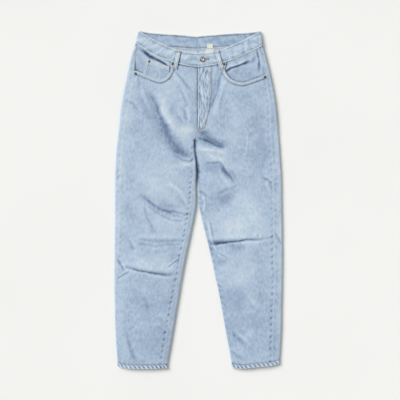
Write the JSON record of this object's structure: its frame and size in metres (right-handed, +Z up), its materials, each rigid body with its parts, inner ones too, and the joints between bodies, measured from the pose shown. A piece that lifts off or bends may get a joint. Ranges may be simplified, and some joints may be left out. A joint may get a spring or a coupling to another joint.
{
  "type": "jeans laid flat",
  "caption": "Light-wash five-pocket denim jeans with tapered legs, laid flat and face up, waist open at the back.",
  "frame": {"origin": "on the surface the garment lies on, under the middle of its outline", "axes": "+Y from the hems towards the waist, +Z up out of the surface, +X towards the wearer's left leg"},
  "size_m": [0.5206, 1.0459, 0.0179],
  "materials": {
    "denim": "stone-washed light blue cotton twill, matt",
    "denim_band": "washed light blue denim in two layers, matt, paler along its edges",
    "zip_tape": "woven tape, matt",
    "label": "woven tape, matt, blank",
    "copper": "worn copper",
    "brass": "worn antique brass"
  },
  "bodies": {
    "root": {"front_right": "denim", "front_left": "denim", "back_right": "denim", "back_left": "denim", "yoke_right": "denim", "yoke_left": "denim", "waistband": "denim_band", "facing_right": "denim", "facing_left": "denim", "coin_pocket": "denim", "fly_shield": "denim", "zip": "zip_tape", "loop_front_right": "denim_band", "loop_front_left": "denim_band", "loop_back_right": "denim_band", "loop_back_centre": "denim_band", "loop_back_left": "denim_band", "back_pocket_right": "denim", "back_pocket_left": "denim", "button": "brass", "rivet_1": "copper", "rivet_2": "copper", "rivet_3": "copper", "rivet_4": "copper", "rivet_5": "copper", "label_main": "label", "label_care": "label"}
  },
  "joints": []
}
